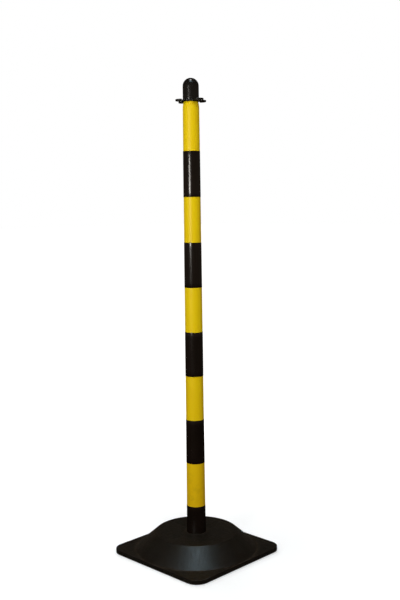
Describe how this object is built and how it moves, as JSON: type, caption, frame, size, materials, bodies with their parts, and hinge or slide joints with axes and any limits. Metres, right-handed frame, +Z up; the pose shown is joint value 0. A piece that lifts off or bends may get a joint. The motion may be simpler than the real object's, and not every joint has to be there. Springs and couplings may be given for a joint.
{
  "type": "delineator post",
  "caption": "Striped tapered plastic post in the socket of a weighted square base, with a swivelling chain hook ring under a domed cap.",
  "frame": {"origin": "on the floor at the middle of the square base, under the tube's axis", "axes": "+Z up along the tube, base sides parallel to X and Y"},
  "size_m": [0.28, 0.28, 1.069],
  "materials": {
    "shell_black": "satin, fine moulded grain, dusty brim",
    "concrete": "rough cast",
    "plate_black": "matt moulded",
    "screw_zinc": "zinc plated",
    "pad_rubber": "matt",
    "tube_yellow": "satin blow-moulded",
    "film_black": "gloss film",
    "ring_black": "satin moulded",
    "cap_black": "satin moulded"
  },
  "bodies": {
    "base": {"base_shell": "shell_black", "ballast": "concrete", "base_plate": "plate_black", "plate_screws": "screw_zinc", "foot_pads": "pad_rubber"},
    "post": {"post_tube": "tube_yellow", "band_1": "film_black", "band_2": "film_black", "band_3": "film_black", "band_4": "film_black", "band_5": "film_black", "foot_plug": "plate_black"},
    "ring": {"hook_ring": "ring_black"},
    "cap": {"dome_cap": "cap_black"}
  },
  "joints": [
    {"name": "post_lift", "type": "slide", "parent": "base", "child": "post", "axis": [0, 0, 1], "range_m": [0, 0.045]},
    {"name": "ring_swivel", "type": "hinge", "parent": "post", "child": "ring", "pos_m": [0, 0, 1.0201], "axis": [0, 0, 1], "continuous": true},
    {"name": "cap_lift", "type": "slide", "parent": "post", "child": "cap", "axis": [0, 0, 1], "range_m": [0, 0.025]}
  ]
}
